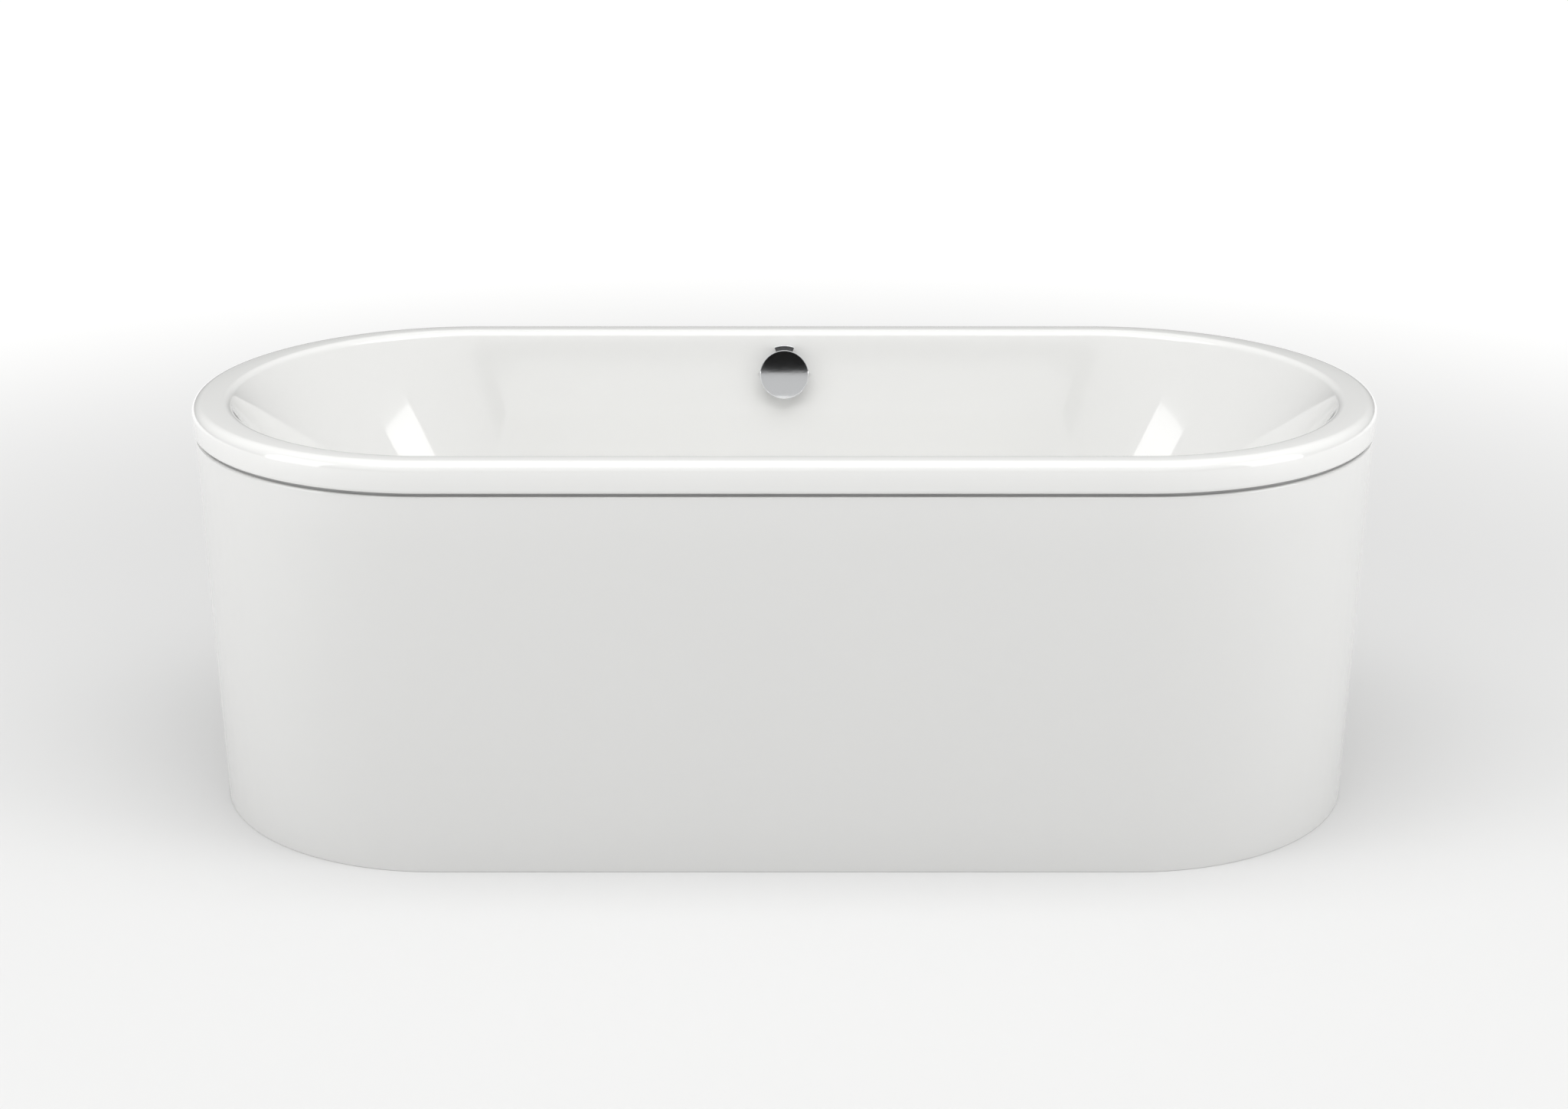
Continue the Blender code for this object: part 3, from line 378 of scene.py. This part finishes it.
# ---------------------------------------------------------------- tub, panel and seal
def tub_section(half, flat_edge, slope):
    """Inside of the tub from the floor's edge up the wall, over the rim and back under it."""
    wall_top = Vector((flat_edge - RIM_INNER_RADIUS * math.cos(slope),
                       TOP - RIM_INNER_RADIUS * (1 - math.sin(slope))))
    corner = Vector((wall_top.x - math.tan(slope) * (wall_top.y - FLOOR_TOP), FLOOR_TOP))
    floor_end = corner - Vector((BOWL_FILLET, 0))
    wall_foot = corner + (wall_top - corner).normalized() * BOWL_FILLET
    path = []
    for step in range(FILLET_STEPS + 1):
        t = step / FILLET_STEPS
        path.append(tuple((1 - t) ** 2 * floor_end + 2 * t * (1 - t) * corner + t * t * wall_foot))
    for step in range(1, WALL_STEPS):
        path.append(tuple(wall_foot.lerp(wall_top, step / WALL_STEPS)))
    path += arc((flat_edge, TOP - RIM_INNER_RADIUS), RIM_INNER_RADIUS,
                math.pi - slope, math.pi / 2, 9)
    path += arc((half - RIM_EDGE_RADIUS, TOP - RIM_EDGE_RADIUS), RIM_EDGE_RADIUS,
                math.pi / 2, 0, 10)
    path += arc((half - RIM_LOWER_RADIUS, RIM_UNDER + RIM_LOWER_RADIUS), RIM_LOWER_RADIUS,
                0, -math.pi / 2, 6)
    path.append((half - RIM_RETURN, RIM_UNDER))
    return path


def make_tub():
    """The enamelled shell, with its waste hole lofted in and its overflow hole cut."""
    end_path = tub_section(HALF_LENGTH, END_EDGE, BACK_SLOPE)
    side_path = tub_section(HALF_WIDTH, SIDE_EDGE, SIDE_SLOPE)
    straights = [STRAIGHT * min(1, end[0] / END_EDGE) for end in end_path]
    upper = [outline(*ring) for ring in zip(end_path, side_path, straights)]
    lower = [outline(*ring) for ring in
             zip(offset_path(end_path, STEEL), offset_path(side_path, STEEL), straights)]
    low = FLOOR_TOP - STEEL

    def disc(radius, height):
        return outline((radius, height), (radius, height), 0)

    rings = [disc(WASTE_HOLE, FLOOR_TOP), disc(WASTE_LAND, FLOOR_TOP)] + upper + lower[::-1]
    rings += [disc(WASTE_LAND, low), disc(WASTE_HOLE, low)]
    tub = ring_loft("tub_enamel", rings, "white_enamel")
    reach = 0.02
    cutter = turned("overflow_cut", [(0, -reach), (OVERFLOW_HOLE, -reach), (OVERFLOW_HOLE, reach),
                                     (0, reach)], "white_enamel", OVERFLOW, 64)
    cut = tub.modifiers.new("overflow_hole", "BOOLEAN")
    cut.operation = "DIFFERENCE"
    cut.solver = "EXACT"
    cut.object = cutter
    baked(tub)
    bpy.data.objects.remove(cutter, do_unlink=True)
    settle(tub, "bath", "tub_shell")


def make_panel():
    """The tapered skin, open below, with a rounded top edge turned in under the rim."""
    side_steps = 8

    def section(half):
        foot = half - PANEL_INSET - PANEL_TAPER
        top = half - PANEL_INSET
        lean = PANEL_TAPER / PANEL_TOP
        path = [(foot, 0)]
        for step in range(1, side_steps):
            share = step / side_steps
            path.append((foot + (top - foot) * share, PANEL_TOP * share))
        path += arc((top - PANEL_EDGE * (1 + lean), PANEL_TOP - PANEL_EDGE), PANEL_EDGE,
                    -math.atan(lean), math.pi / 2, 6)
        path.append((half - RIM_RETURN, PANEL_TOP))
        inner = offset_path(path, -PANEL_WALL)
        inner[0] = (foot - PANEL_WALL, 0)
        return path + inner[::-1]

    rings = [outline(end, side, STRAIGHT)
             for end, side in zip(section(HALF_LENGTH), section(HALF_WIDTH))]
    settle(ring_loft("panel_skin", rings, "white_acrylic"), "bath", "side_panel")


def make_seal():
    """The soft strip that fills the shadow gap."""
    rings = []
    inset = HALF_LENGTH - SEAL_HIGH.x
    for away, height in ((0, SEAL_LOW.z), (0, SEAL_HIGH.z), (SEAL_WIDTH, SEAL_HIGH.z),
                         (SEAL_WIDTH, SEAL_LOW.z)):
        rings.append(outline((HALF_LENGTH - inset - away, height),
                             (HALF_WIDTH - inset - away, height), STRAIGHT))
    settle(ring_loft("gap_seal", rings, "grey_seal"), "bath", "rim_seal")


# ---------------------------------------------------------------- chrome
def make_knob():
    """A slightly crowned disc with a fine bevel, on a hub."""
    face_steps = 8
    face = []
    for step in range(face_steps + 1):
        share = 1 - step / face_steps
        face.append(((KNOB_RADIUS - KNOB_BEVEL) * share, KNOB_FRONT - KNOB_CROWN * share ** 2))
    profile = [(0, HUB_LOW), (HUB_RADIUS, HUB_LOW), (HUB_RADIUS, KNOB_BACK - HUB_FLARE),
               (HUB_RADIUS + HUB_FLARE, KNOB_BACK), (KNOB_RADIUS - KNOB_BACK_BEVEL, KNOB_BACK),
               (KNOB_RADIUS, KNOB_BACK + KNOB_BACK_BEVEL),
               (KNOB_RADIUS, KNOB_FRONT - KNOB_CROWN - KNOB_BEVEL)] + face
    settle(turned("knob_disc", profile, "polished_chrome", OVERFLOW, 128), "knob",
           "overflow_knob")


def lug_section():
    """Heights off the wall and reaches beyond the knob's edge, with two grooves for the finger."""
    section = [(LUG_LOW, -LUG_EDGE), (LUG_LOW + LUG_EDGE, 0)]
    for low in LUG_GROOVES:
        floor = low + GROOVE_FLANK
        section += [(low, 0), (floor, -GROOVE_DEPTH), (floor + GROOVE_FLOOR, -GROOVE_DEPTH),
                    (floor + GROOVE_FLOOR + GROOVE_FLANK, 0)]
    return section + [(LUG_HIGH - LUG_EDGE, 0), (LUG_HIGH, -LUG_EDGE)]


def make_lug():
    """The finger lug, a short stretch of ring over the top of the disc."""
    steps = 24
    section = lug_section()
    vertices = []
    for height, more in section:
        for radius in (LUG_ROOT, KNOB_RADIUS + LUG_REACH + more):
            for step in range(steps + 1):
                angle = math.pi / 2 + LUG_HALF_ANGLE * (2 * step / steps - 1)
                vertices.append(OVERFLOW @ Vector((radius * math.cos(angle),
                                                   radius * math.sin(angle), height)))
    row = steps + 1
    faces = []
    for level in range(len(section) - 1):
        base = level * 2 * row
        above = base + 2 * row
        for step in range(steps):
            for skin in (0, row):
                faces.append((base + skin + step, base + skin + step + 1,
                              above + skin + step + 1, above + skin + step))
        for step in (0, steps):
            faces.append((base + step, base + row + step, above + row + step, above + step))
    for base in (0, (len(section) - 1) * 2 * row):
        for step in range(steps):
            faces.append((base + step, base + step + 1, base + row + step + 1, base + row + step))
    settle(piece_of("knob_lug", vertices, faces, "polished_chrome", 30), "knob")


def make_faceplate():
    """The ring behind the knob, with its tube through the wall, drawn without its thread."""
    edge = FACEPLATE_EDGE
    profile = [(FACEPLATE_BORE, -FACEPLATE_DEPTH), (FACEPLATE_TUBE, -FACEPLATE_DEPTH),
               (FACEPLATE_TUBE, RING_SEAT), (FACEPLATE_RADIUS, RING_SEAT)]
    profile.append((FACEPLATE_RADIUS, RING_FRONT - edge))
    profile += arc((FACEPLATE_RADIUS - edge, RING_FRONT - edge), edge, 0, math.pi / 2, 5)
    profile.append((FACEPLATE_BORE, RING_FRONT))
    settle(turned("overflow_ring", profile, "polished_chrome", OVERFLOW), "bath",
           "overflow_faceplate")


def make_waste():
    """The dished waste ring."""
    edge = WASTE_EDGE
    profile = [(WASTE_BORE, -WASTE_DEPTH), (WASTE_TUBE, -WASTE_DEPTH), (WASTE_TUBE, RING_SEAT),
               (WASTE_RADIUS, RING_SEAT)]
    profile += arc((WASTE_RADIUS - edge, RING_FRONT - edge), edge, 0, math.pi / 2, 6)
    profile += WASTE_DISH
    settle(turned("waste_ring", profile, "polished_chrome", WASTE), "bath",
           "waste_flange")


def make_plug():
    """The domed plug on its stem."""
    dome_steps = 12
    dome = []
    for step in range(dome_steps):
        angle = math.pi / 2 * step / dome_steps
        dome.append((PLUG_RADIUS * math.cos(angle), PLUG_SHOULDER + PLUG_RISE * math.sin(angle)))
    profile = [(0, -WASTE_DEPTH), (PLUG_STEM_RADIUS, -WASTE_DEPTH),
               (PLUG_STEM_RADIUS, PLUG_BOSS_LOW), (PLUG_BOSS_RADIUS, PLUG_BOSS_LOW),
               (PLUG_BOSS_RADIUS, PLUG_UNDER), (PLUG_RADIUS - PLUG_UNDER_EDGE, PLUG_UNDER)]
    profile += dome + [(0, PLUG_SHOULDER + PLUG_RISE)]
    settle(turned("plug_dome", profile, "polished_chrome", WASTE), "plug",
           "waste_plug")


# ---------------------------------------------------------------- repeated rings
def ring_tree():
    """Rings set square to a path at an even spacing: screw threads and hose ribs."""
    tree = bpy.data.node_groups.new("rings_on_path", "GeometryNodeTree")
    tree.interface.new_socket("Path", in_out="INPUT", socket_type="NodeSocketGeometry")
    for label, kind in (("Spacing", "NodeSocketFloat"), ("Ring Radius", "NodeSocketFloat"),
                        ("Wire Radius", "NodeSocketFloat"), ("Finish", "NodeSocketMaterial")):
        tree.interface.new_socket(label, in_out="INPUT", socket_type=kind)
    tree.interface.new_socket("Rings", in_out="OUTPUT", socket_type="NodeSocketGeometry")
    nodes, links = tree.nodes, tree.links
    given = nodes.new("NodeGroupInput")
    out = nodes.new("NodeGroupOutput")
    curve = nodes.new("GeometryNodeMeshToCurve")
    points = nodes.new("GeometryNodeCurveToPoints")
    points.mode = "LENGTH"
    big = nodes.new("GeometryNodeCurvePrimitiveCircle")
    big.inputs["Resolution"].default_value = 24
    small = nodes.new("GeometryNodeCurvePrimitiveCircle")
    small.inputs["Resolution"].default_value = 6
    ring = nodes.new("GeometryNodeCurveToMesh")
    copies = nodes.new("GeometryNodeInstanceOnPoints")
    real = nodes.new("GeometryNodeRealizeInstances")
    smooth = nodes.new("GeometryNodeSetShadeSmooth")
    coat = nodes.new("GeometryNodeSetMaterial")
    links.new(given.outputs["Path"], curve.inputs["Mesh"])
    links.new(curve.outputs["Curve"], points.inputs["Curve"])
    links.new(given.outputs["Spacing"], points.inputs["Length"])
    links.new(given.outputs["Ring Radius"], big.inputs["Radius"])
    links.new(given.outputs["Wire Radius"], small.inputs["Radius"])
    links.new(big.outputs["Curve"], ring.inputs["Curve"])
    links.new(small.outputs["Curve"], ring.inputs["Profile Curve"])
    links.new(points.outputs["Points"], copies.inputs["Points"])
    links.new(points.outputs["Rotation"], copies.inputs["Rotation"])
    links.new(ring.outputs["Mesh"], copies.inputs["Instance"])
    links.new(copies.outputs["Instances"], real.inputs["Geometry"])
    links.new(real.outputs["Geometry"], smooth.inputs["Geometry"])
    links.new(smooth.outputs["Geometry"], coat.inputs["Geometry"])
    links.new(given.outputs["Finish"], coat.inputs["Material"])
    links.new(coat.outputs["Geometry"], out.inputs["Rings"])
    return tree


RINGS = ring_tree()


def rings_along(name, path, spacing, radius, wire, slot, body):
    """A piece made of rings along a path, riding a body."""
    mesh = bpy.data.meshes.new(name)
    mesh.from_pydata(path, [(index, index + 1) for index in range(len(path) - 1)], [])
    made = bpy.data.objects.new(name, mesh)
    bpy.context.scene.collection.objects.link(made)
    modifier = made.modifiers.new("rings", "NODES")
    modifier.node_group = RINGS
    values = {"Spacing": spacing, "Ring Radius": radius, "Wire Radius": wire,
              "Finish": FINISHES[slot]}
    for socket in RINGS.interface.items_tree:
        if socket.in_out == "INPUT" and socket.name in values:
            modifier[socket.identifier] = values[socket.name]
    baked(made)
    work = bmesh.new()
    work.from_mesh(made.data)
    bmesh.ops.recalc_face_normals(work, faces=work.faces)
    work.to_mesh(made.data)
    work.free()
    settle(made, body)


def make_threads():
    """The rolled thread on each levelling spindle."""
    for number in range(1, 5):
        low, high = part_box(f"foot_spindle_{number}")
        middle = (low + high) / 2
        path = [(middle.x, middle.y, low.z + THREAD_FROM),
                (middle.x, middle.y, high.z - THREAD_SHORT_OF)]
        rings_along(f"thread_{number}", path, THREAD_PITCH, THREAD_RADIUS, THREAD_WIRE,
                    "zinc_plated_steel", f"spindle_{number}")


def make_hose_ribs():
    """Ribs along the overflow hose, on the hose's own route."""
    bend_steps = 16
    down = Vector((0, -math.sin(SIDE_SLOPE), -math.cos(SIDE_SLOPE)))
    start = OVERFLOW @ Vector((0, -PORT_END, -PORT_DEPTH))
    end = Vector((0, INLET_END, FLOOR_TOP - INLET_LOW))
    corner = start + down * (start.z - end.z) / math.cos(SIDE_SLOPE)
    above = corner - down * HOSE_BEND
    beside = corner - Vector((0, HOSE_BEND, 0))
    route = [start.lerp(above, share) for share in (0.12, 0.5)]
    for step in range(bend_steps + 1):
        t = step / bend_steps
        route.append((1 - t) ** 2 * above + 2 * t * (1 - t) * corner + t * t * beside)
    route += [beside.lerp(end, share) for share in (0.5, 0.82)]
    rings_along("hose_ribs", route, RIB_SPACING, HOSE_RADIUS, RIB_WIRE, "grey_plastic", "bath")


# ---------------------------------------------------------------- carried-over pieces
def dress_cad():
    """Every CAD node gets the finish of its slot."""
    slots = {part["node"]: part["material_slot"] for part in frame["record"]["subparts"]}
    for name, made in frame["nodes"].items():
        made.data.materials.clear()
        made.data.materials.append(FINISHES[slots[name]])


# ---------------------------------------------------------------- room, light and camera
def make_room():
    """A pale floor with a painted glow: it emits white light, more strongly away from the bath, so it reads white.
    """
    mesh = bpy.data.meshes.new("floor")
    reach = 30
    level = -0.0005
    corners = [(-reach, -reach, level), (reach, -reach, level), (reach, reach, level),
               (-reach, reach, level)]
    mesh.from_pydata(corners, [], [(0, 1, 2, 3)])
    floor = bpy.data.objects.new("floor", mesh)
    pale = bpy.data.materials.new("pale_floor_painted_glow")
    pale.use_nodes = True
    shader = pale.node_tree.nodes["Principled BSDF"]
    shader.inputs["Base Color"].default_value = (0.74, 0.74, 0.74, 1)
    shader.inputs["Roughness"].default_value = 0.9
    shader.inputs["Specular IOR Level"].default_value = 0.0
    # painted glow: the floor emits white light, rising with distance from the bath
    shader.inputs["Emission Color"].default_value = (1, 1, 1, 1)
    nodes, links = pale.node_tree.nodes, pale.node_tree.links
    place = nodes.new("ShaderNodeTexCoord")
    away = nodes.new("ShaderNodeVectorMath")
    away.operation = "LENGTH"
    painted_glow_ramp = nodes.new("ShaderNodeMapRange")
    painted_glow_ramp.interpolation_type = "SMOOTHSTEP"
    painted_glow_ramp.inputs["From Min"].default_value = 1.2
    painted_glow_ramp.inputs["From Max"].default_value = 4.5
    painted_glow_ramp.inputs["To Max"].default_value = 0.55
    links.new(place.outputs["Object"], away.inputs[0])
    links.new(away.outputs["Value"], painted_glow_ramp.inputs["Value"])
    links.new(painted_glow_ramp.outputs["Result"], shader.inputs["Emission Strength"])
    mesh.materials.append(pale)
    bpy.context.scene.collection.objects.link(floor)


def make_world():
    """White to the camera; to the bath a brighter ceiling, with a pale and a dark card in front."""
    world = bpy.data.worlds.new("studio")
    bpy.context.scene.world = world
    world.use_nodes = True
    tree = world.node_tree
    nodes, links = tree.nodes, tree.links
    back = nodes["Background"]
    back.inputs["Color"].default_value = (1, 1, 0.99, 1)
    path = nodes.new("ShaderNodeLightPath")
    place = nodes.new("ShaderNodeTexCoord")
    split = nodes.new("ShaderNodeSeparateXYZ")
    links.new(place.outputs["Generated"], split.inputs[0])

    def band(axis, low, high, start=0.0, end=1.0):
        node = nodes.new("ShaderNodeMapRange")
        node.inputs["From Min"].default_value = low
        node.inputs["From Max"].default_value = high
        node.inputs["To Min"].default_value = start
        node.inputs["To Max"].default_value = end
        links.new(split.outputs[axis], node.inputs["Value"])
        return node.outputs["Result"]

    def times(first, second):
        node = nodes.new("ShaderNodeMath")
        node.operation = "MULTIPLY"
        links.new(first, node.inputs[0])
        links.new(second, node.inputs[1])
        return node.outputs[0]

    def over(level, card, value):
        node = nodes.new("ShaderNodeMix")
        node.inputs["B"].default_value = value
        links.new(level, node.inputs["A"])
        links.new(card, node.inputs["Factor"])
        return node.outputs["Result"]

    front = band("Y", -0.955, -0.965)
    level = band("Z", 0.0, 0.8, 0.24, 0.74)
    pale_card = times(front, times(band("Z", 0.09, 0.11), band("Z", 0.1955, 0.1935)))
    dark_card = times(front, times(band("Z", 0.1935, 0.1955), band("Z", 0.27, 0.25)))
    level = over(over(level, pale_card, 0.60), dark_card, 0.01)
    links.new(over(level, path.outputs["Is Camera Ray"], 1.0), back.inputs["Strength"])


def softbox(name, place, aim, size, power):
    """A soft rectangular lamp of that size and power, aimed at a point."""
    light = bpy.data.lights.new(name, "AREA")
    light.shape = "RECTANGLE"
    light.size, light.size_y = size
    light.energy = power
    made = bpy.data.objects.new(name, light)
    made.location = place
    made.rotation_euler = (Vector(aim) - Vector(place)).to_track_quat("-Z", "Y").to_euler()
    bpy.context.scene.collection.objects.link(made)


def make_light():
    """One wide lamp overhead and one at each end, all a little in front."""
    middle = (0, 0, 0.35)
    softbox("top_softbox", (0, -0.9, 3.6), middle, (4.0, 2.4), 72)
    softbox("left_softbox", (-3.6, -1.6, 1.5), middle, (1.8, 2.6), 34)
    softbox("right_softbox", (3.6, -1.6, 1.5), middle, (1.8, 2.6), 36)


def make_camera():
    """Slightly above the rim, square to the long side."""
    aside, away, height, pitch = -0.0005, 3.980, 1.719, 0.2709
    camera = bpy.data.cameras.new("camera")
    camera.sensor_width = 36
    camera.lens = 61.84
    camera.shift_y = -0.10
    camera.clip_end = 100
    made = bpy.data.objects.new("camera", camera)
    made.location = (aside, -away, height)
    made.rotation_euler = (math.pi / 2 - pitch, 0, 0)
    bpy.context.scene.collection.objects.link(made)
    bpy.context.scene.camera = made


make_camera()
dress_cad()
make_tub()
make_panel()
make_seal()
make_knob()
make_lug()
make_faceplate()
make_waste()
make_plug()
make_threads()
make_hose_ribs()
make_room()
make_world()
make_light()
bpy.context.scene.view_settings.view_transform = "Standard"
